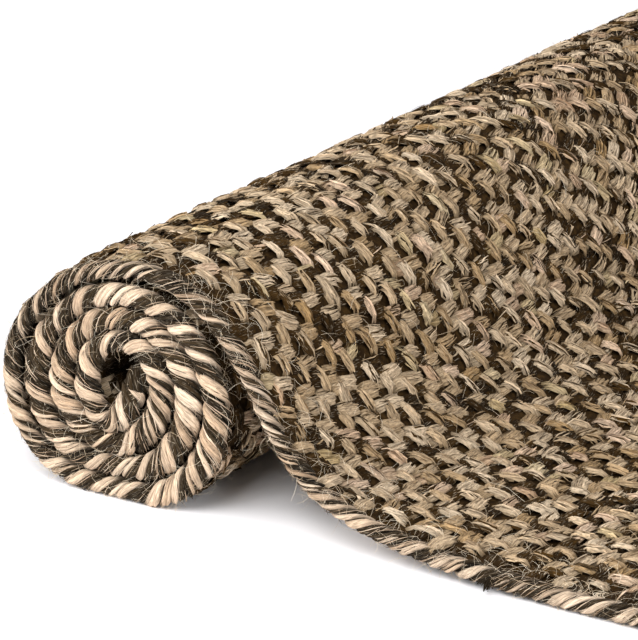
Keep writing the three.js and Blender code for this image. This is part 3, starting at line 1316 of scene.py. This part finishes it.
    def build(self) -> List[bpy.types.Object]:
        """Builds the cord: the near side, which is finer, the rest, and the loose fibres on both."""
        material = self.finish.material()
        spans, _ = self.spans()
        total, near = float(spans.sum()), float(spans[0])
        parts = {"edge_cord_near": (0.0, near, 1.7, 7), "edge_cord_round": (near, total, 3.3, 5)}
        members = [(g, m) for g in range(self.groups) for m in range(self.yarns_per_group)] + [(1, -1)]
        pieces = []
        for name, (start, end, step, sides) in parts.items():
            travelled = np.linspace(start, end, int((end - start) / step))
            rings = len(travelled)
            faces = grid_quads(rings, sides, closed=True)
            yarns = [self.yarn(g, m, travelled, total, sides) for g, m in members]
            points, colours, uvs = (np.concatenate([y[k].reshape(-1, y[k].shape[-1]) for y in yarns])
                                    for k in range(3))
            quads = repeated(faces, len(members), rings * sides)[:, ::-1]
            pieces.append(mesh_object(name, points, quads, colours, uvs))
        pieces.append(self.loose_fibres(total, near))
        for obj in pieces:
            obj.data.materials.append(material)
            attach(obj, "root")
            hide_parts("edge_cord")
        return pieces


@dataclass(frozen=True)
class Tuft:
    """A bunch of fibres that stands off one place of the rug, in millimetres and radians.

    Its fibres start side by side over spread, run towards heading, which is measured from along towards
    across, and rise by climb. bend turns them with each step. thickness is beside the usual fibres'.
    """

    across: float
    along: float
    height: float
    heading: float
    climb: float
    reach: float
    bend: float
    count: int
    spread: float
    thickness: float
    dye: Dye


@dataclass
class StrayFibres:
    """Fine fibres that stand off the cord and the cloth, and the frayed tufts at the near edge.

    near_share of the cord's fibres are on the near side, and selvedge_share of the cloth's are beside the
    cord. The cloth's begin at cloth_start, before the place where the rug comes to lie flat.
    """

    line: RugLine
    rug: RugSizes
    cord_count: int = 3500
    cloth_count: int = 2500
    radius: float = 0.062
    reach: float = 9.0
    side_reach: float = 14.0
    end_reach: float = 6.0
    segments: int = 4
    tuft_segments: int = 6
    tuft_droop: float = 0.06
    tuft_floor: float = 0.4
    near_share: float = 0.8
    cord_band: Tuple[float, float] = (-0.5, 9.0)
    cord_heights: Tuple[float, float] = (-3.5, 4.4)
    selvedge_share: float = 0.22
    selvedge_band: Tuple[float, float] = (9.0, 34.0)
    cloth_start: float = 520.0
    cloth_height: float = 4.4
    sides: int = 3
    tip: float = 0.45
    natural: Tuple[Colour, Colour] = (srgb(206, 180, 146), srgb(246, 234, 212))
    black: Tuple[Colour, Colour] = (srgb(26, 20, 12), srgb(48, 38, 26))
    tufts: Tuple[Tuft, ...] = (
        Tuft(1.0, 988.5, 0.5, math.radians(-100), math.radians(-12), 6.5, 0.10, 30, 1.2, 6.5, Dye.BLACK),
        Tuft(13.0, 1007.0, 3.8, math.radians(-78), math.radians(34), 6.5, 0.0, 9, 2.6, 3.0, Dye.NATURAL),
        Tuft(5.0, 1023.0, 3.8, math.radians(20), math.radians(25), 9.0, 0.95, 8, 2.0, 1.9, Dye.NATURAL),
        Tuft(5.5, 1033.0, 3.6, math.radians(160), math.radians(20), 9.0, -0.95, 8, 2.4, 1.9, Dye.NATURAL),
    )
    finish: YarnFinish = YarnFinish("stray_jute_fibre", streak=0.1, painted_furrow_shade=0.0, bump=0.0, pale_fibres=0.0)
    seed: int = 77

    def strands(self, across: Array, along: Array, height: Array, out: Array,
                rng: np.random.Generator) -> Array:
        """Grows a curved fibre from each root.

        Args:
            across: the roots' distances across.
            along: the roots' distances along.
            height: the roots' heights from the middle line.
            out: how far each fibre may stray, in millimetres.
            rng: the source of the variation.

        Returns:
            For each fibre a row of points in metres.
        """
        count = len(across)
        step = out / self.segments
        heading = rng.uniform(0, 2 * math.pi, count)
        climb = rng.normal(0.35, 0.5, count)
        bend = rng.normal(0, 0.42, count)
        droop = rng.normal(-0.15, 0.2, count)
        a, s, h = across.copy(), along.copy(), height.copy()
        points = []
        for _ in range(self.segments + 1):
            points.append(self.line.place(
                np.clip(a, -self.side_reach, self.rug.width + self.side_reach),
                np.clip(s, 0, self.rug.length + self.end_reach),
                np.clip(h, -self.reach, self.reach),
            ))
            a = a + step * np.cos(heading) * np.cos(climb)
            s = s + step * np.sin(heading) * np.cos(climb)
            h = h + step * np.sin(climb)
            heading, climb = heading + bend, climb + droop
        return np.stack(points, axis=1)

    def tuft(self, tuft: Tuft, rng: np.random.Generator) -> Array:
        """Grows the fibres of one tuft side by side.

        Args:
            tuft: the tuft.
            rng: the source of the variation.

        Returns:
            For each fibre a row of points in metres.
        """
        count, segments = tuft.count, self.tuft_segments
        a = tuft.across + rng.normal(0, 0.35, count)
        s = tuft.along + rng.normal(0, tuft.spread, count)
        h = tuft.height + rng.normal(0, 0.3, count)
        heading = tuft.heading + rng.normal(0, 0.18, count)
        climb = tuft.climb + rng.normal(0, 0.2, count)
        bend = tuft.bend * rng.uniform(0.6, 1.2, count)
        step = tuft.reach / segments * rng.uniform(0.6, 1.1, count)
        floor = self.tuft_floor - self.rug.thickness / 2
        points = []
        for _ in range(segments + 1):
            points.append(self.line.place(a, s, np.clip(h, floor, self.reach)))
            a = a + step * np.sin(heading) * np.cos(climb)
            s = s + step * np.cos(heading) * np.cos(climb)
            h = h + step * np.sin(climb)
            heading, climb = heading + bend, climb - self.tuft_droop
        return np.stack(points, axis=1)

    def tubes(self, name: str, paths: Array, rng: np.random.Generator, thickness: float = 1.0,
              dye: Dye = Dye.NATURAL) -> bpy.types.Object:
        """Gives each fibre a body of a few sides that tapers to its end.

        Args:
            name: name of the piece.
            paths: for each fibre a row of points in metres.
            rng: the source of the variation.
            thickness: how thick the fibres are beside the usual ones.
            dye: the fibres' dye.

        Returns:
            One object with all the fibres.
        """
        count, rings = paths.shape[:2]
        ahead = np.gradient(paths, axis=1)
        ahead /= np.linalg.norm(ahead, axis=2, keepdims=True) + 1e-12
        aside = np.cross(ahead, [0.3, 0.5, 0.81])
        aside /= np.linalg.norm(aside, axis=2, keepdims=True) + 1e-12
        over = np.cross(ahead, aside)
        around = np.linspace(0, 2 * math.pi, self.sides, endpoint=False)
        thick = self.radius * thickness * MM * rng.uniform(0.6, 1.25, (count, 1, 1, 1))
        thick = thick * np.linspace(1.0, self.tip, rings)[None, :, None, None]
        ring = (np.cos(around)[None, None, :, None] * aside[:, :, None, :]
                + np.sin(around)[None, None, :, None] * over[:, :, None, :])
        points = paths[:, :, None, :] + ring * thick
        dark, light = (np.array(end) for end in (self.black if dye is Dye.BLACK else self.natural))
        mix = rng.uniform(0, 1, (count, 1))
        corners = rings * self.sides
        colours = np.repeat(light * mix + dark * (1 - mix), corners, axis=0)
        uvs = rng.uniform(0, 50, (count * corners, 2))
        quads = repeated(grid_quads(rings, self.sides, closed=True), count, corners)
        return mesh_object(name, points.reshape(-1, 3), quads, colours, uvs)

    def build(self) -> List[bpy.types.Object]:
        """Builds the fibres of the cord and of the cloth, and the tufts."""
        rng = np.random.default_rng(self.seed)
        material = self.finish.material()
        rug, count = self.rug, self.cord_count
        near = rng.uniform(0, 1, count) < self.near_share
        bands = rng.uniform(*self.cord_band, (2, count))
        across = np.where(near, bands[0], rug.width - bands[1])
        along = rng.uniform(2, rug.length - 4, count)
        height = rng.uniform(*self.cord_heights, count)
        cord = self.strands(across, along, height, rng.gamma(3.0, 2.0, count) + 3.0, rng)
        count = self.cloth_count
        selvedge = rng.uniform(0, 1, count) < self.selvedge_share
        across = np.where(selvedge, rng.uniform(*self.selvedge_band, count),
                          rng.uniform(10, rug.width - 10, count))
        along = rng.uniform(self.line.curved - self.cloth_start, rug.length - 10, count)
        height = np.full(count, self.cloth_height)
        cloth = self.strands(across, along, height, rng.gamma(3.0, 2.2, count) + 3.0, rng)
        pieces = {"jute_cord": [self.tubes("stray_fibres_cord", cord, rng)],
                  "jute_weave": [self.tubes("stray_fibres_cloth", cloth, rng)]}
        for number, tuft in enumerate(self.tufts):
            name = f"edge_tuft_{number + 1}"
            pieces["jute_cord"].append(self.tubes(name, self.tuft(tuft, rng), rng, tuft.thickness, tuft.dye))
        for slot, made in pieces.items():
            for piece in made:
                piece.data.materials.append(material)
                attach(piece, "root")
        return [piece for made in pieces.values() for piece in made]


@dataclass(frozen=True)
class Lamp:
    """A square area light that faces the rug: its place and size in metres, and its power in watts."""

    name: str
    place: Tuple[float, float, float]
    size: float
    watts: float

    def build(self) -> bpy.types.Object:
        """Adds the light to the scene."""
        data = bpy.data.lights.new(self.name, "AREA")
        data.shape, data.size, data.energy = "SQUARE", self.size, self.watts
        obj = bpy.data.objects.new(self.name, data)
        obj.location = self.place
        obj.rotation_euler = (Vector(self.place) * -1).to_track_quat("-Z", "Y").to_euler()
        bpy.context.scene.collection.objects.link(obj)
        return obj


@dataclass
class Studio:
    """The pale floor, the soft lights, the surroundings and the camera.

    focal, image and anchor_pixel are in pixels. At the anchor's distance a millimetre spans 2.4 pixels.
    """

    focal: float = 3590.0
    image: Tuple[int, int] = (638, 640)
    pitch: float = math.radians(18.8)
    yaw: float = math.radians(29.4)
    roll: float = math.radians(2.0)
    anchor_pixel: Tuple[float, float] = (130.0, 504.0)
    distance: float = 3590.0 / 2.4 * MM
    sensor: float = 36.0
    clip: Tuple[float, float] = (0.05, 20.0)
    floor_reach: float = 4.0
    floor_colour: Colour = (0.93, 0.92, 0.94)
    air_colour: Colour = (0.98, 0.99, 1.0)
    air_strength: float = 0.54
    lamps: Tuple[Lamp, ...] = (
        Lamp("left", (-1.9, -2.0, 1.1), 1.6, 72.0),
        Lamp("right", (2.3, -1.3, 1.3), 1.5, 46.0),
        Lamp("high", (0.1, -2.0, 1.9), 1.2, 45.0),
    )

    def camera(self, anchor: Sequence[float]) -> bpy.types.Object:
        """Places the camera so that the anchor is seen at the anchor pixel.

        Args:
            anchor: a point in metres.

        Returns:
            The camera.
        """
        level = np.array([-math.sin(self.yaw), math.cos(self.yaw), 0.0])
        right0 = np.array([math.cos(self.yaw), math.sin(self.yaw), 0.0])
        ahead = level * math.cos(self.pitch) + np.array([0, 0, -math.sin(self.pitch)])
        up0 = np.cross(right0, ahead)
        right = right0 * math.cos(self.roll) + up0 * math.sin(self.roll)
        up = up0 * math.cos(self.roll) - right0 * math.sin(self.roll)
        u, v = self.anchor_pixel
        ray = ((u - self.image[0] / 2) * right - (v - self.image[1] / 2) * up) / self.focal + ahead
        place = np.array(anchor) - ray / ray.dot(ahead) * self.distance
        data = bpy.data.cameras.new("camera")
        data.sensor_width = self.sensor
        data.lens = self.focal * self.sensor / max(self.image)
        data.clip_start, data.clip_end = self.clip
        cam = bpy.data.objects.new("camera", data)
        turn = Matrix((right, up, -ahead)).transposed().to_4x4()
        cam.matrix_world = Matrix.Translation(Vector(place)) @ turn
        bpy.context.scene.collection.objects.link(cam)
        bpy.context.scene.camera = cam
        return cam

    def floor(self) -> bpy.types.Object:
        """Returns a wide matt white floor."""
        size = self.floor_reach
        corners = ((-size, -size), (size, -size), (size, size), (-size, size))
        points = np.array([(x, y, 0.0) for x, y in corners])
        obj = mesh_object("studio_floor", points, np.array([[0, 1, 2, 3]]), smooth=False)
        mat = bpy.data.materials.new("white_floor")
        mat.use_nodes = True
        shader = mat.node_tree.nodes["Principled BSDF"]
        shader.inputs["Base Color"].default_value = (*self.floor_colour, 1)
        shader.inputs["Roughness"].default_value = 0.9
        shader.inputs["Specular IOR Level"].default_value = 0.1
        obj.data.materials.append(mat)
        return obj

    def build(self, anchor: Sequence[float]) -> None:
        """Sets up the floor, the lights, the surroundings and the camera.

        Args:
            anchor: a point in metres that the camera sees at the anchor pixel.
        """
        self.floor()
        for lamp in self.lamps:
            lamp.build()
        world = bpy.data.worlds.new("studio")
        world.use_nodes = True
        back = world.node_tree.nodes["Background"]
        back.inputs["Color"].default_value = (*self.air_colour, 1)
        back.inputs["Strength"].default_value = self.air_strength
        scene = bpy.context.scene
        scene.world = world
        scene.view_settings.view_transform = "Standard"
        self.camera(anchor)


def main() -> None:
    """Builds the rug piece by piece and reports each one."""
    logging.basicConfig(level=logging.INFO, format="%(name)s: %(message)s")
    rug, roll = RugSizes(), RollSizes()
    flat_end = CAD_BOX[1][0] / MM
    line = RugLine(rug, roll, flat_end)
    for maker in (WovenField(line, rug), EdgeCord(line, rug, roll), StrayFibres(line, rug)):
        for piece in maker.build():
            LOG.info("%s: %d faces", piece.name, len(piece.data.polygons))
    origin_x = flat_end - (roll.touchdown + rug.length - line.curved)
    Studio().build((origin_x * MM, -rug.width / 2 * MM, 0.0))


if __name__ == "__main__":
    main()
